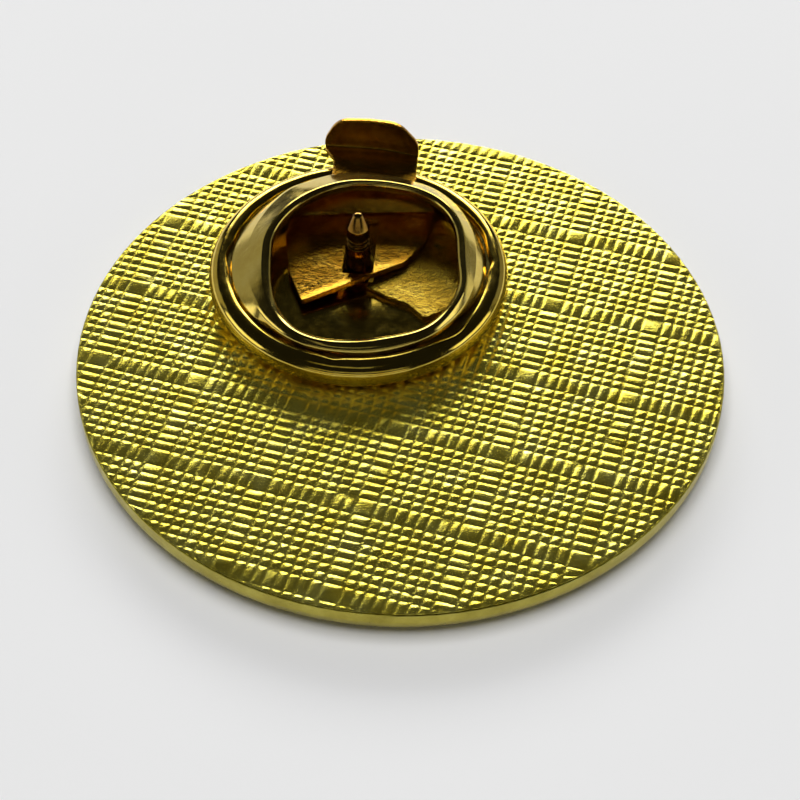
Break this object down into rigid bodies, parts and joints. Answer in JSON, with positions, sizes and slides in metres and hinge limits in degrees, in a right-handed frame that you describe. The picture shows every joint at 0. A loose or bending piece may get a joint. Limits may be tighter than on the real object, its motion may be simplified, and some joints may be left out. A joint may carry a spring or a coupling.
{
  "type": "enamel pin",
  "caption": "Round brass lapel pin lying face down: flower-pattern enamel front, cross-hatched back, off-centre post and a butterfly clutch with one squeeze wing.",
  "frame": {"origin": "centre of the disc on the plane of the front face, which the pin lies on", "axes": "+Z out of the textured back, along the post; +Y from the disc's centre towards the side the wing is on"},
  "size_m": [0.025, 0.025, 0.005],
  "materials": {
    "struck_brass": "bright gold plating over a die-struck cross-hatched back",
    "ring_enamel": "polished hard enamel",
    "petal_enamel": "polished hard enamel",
    "field_enamel": "polished hard enamel",
    "centre_enamel": "polished hard enamel",
    "post_brass": "plated, drawn and turned",
    "solder": "dull plated solder",
    "clutch_brass": "bright polished brass plating",
    "spring_brass": "polished spring brass with faint drawing marks"
  },
  "bodies": {
    "pin": {"badge_base": "struck_brass", "enamel_ring": "ring_enamel", "enamel_centre": "centre_enamel", "enamel_petal_1": "petal_enamel", "enamel_petal_2": "petal_enamel", "enamel_petal_3": "petal_enamel", "enamel_petal_4": "petal_enamel", "enamel_petal_5": "petal_enamel", "enamel_petal_6": "petal_enamel", "enamel_petal_7": "petal_enamel", "enamel_petal_8": "petal_enamel", "enamel_field_1": "field_enamel", "enamel_field_2": "field_enamel", "enamel_field_3": "field_enamel", "enamel_field_4": "field_enamel", "enamel_field_5": "field_enamel", "enamel_field_6": "field_enamel", "enamel_field_7": "field_enamel", "enamel_field_8": "field_enamel", "post": "post_brass", "post_solder": "solder"},
    "clutch_dish": {"clutch_dish": "clutch_brass"},
    "clutch_cage": {"clutch_cap": "clutch_brass", "counter_jaw": "spring_brass"},
    "wing_strip": {"wing_jaw": "spring_brass"}
  },
  "joints": [
    {"name": "clutch_lift", "type": "slide", "parent": "pin", "child": "clutch_dish", "axis": [0, 0, 1], "range_m": [0, 0.006]},
    {"name": "cage_spin", "type": "hinge", "parent": "clutch_dish", "child": "clutch_cage", "pos_m": [-0.0017, 0.00372, 0.0022], "axis": [0, 0, 1], "continuous": true},
    {"name": "wing_squeeze", "type": "slide", "parent": "clutch_cage", "child": "wing_strip", "axis": [-0.0698, -0.9976, 0], "range_m": [0, 0.0008], "stiffness_N_per_m": 500}
  ]
}
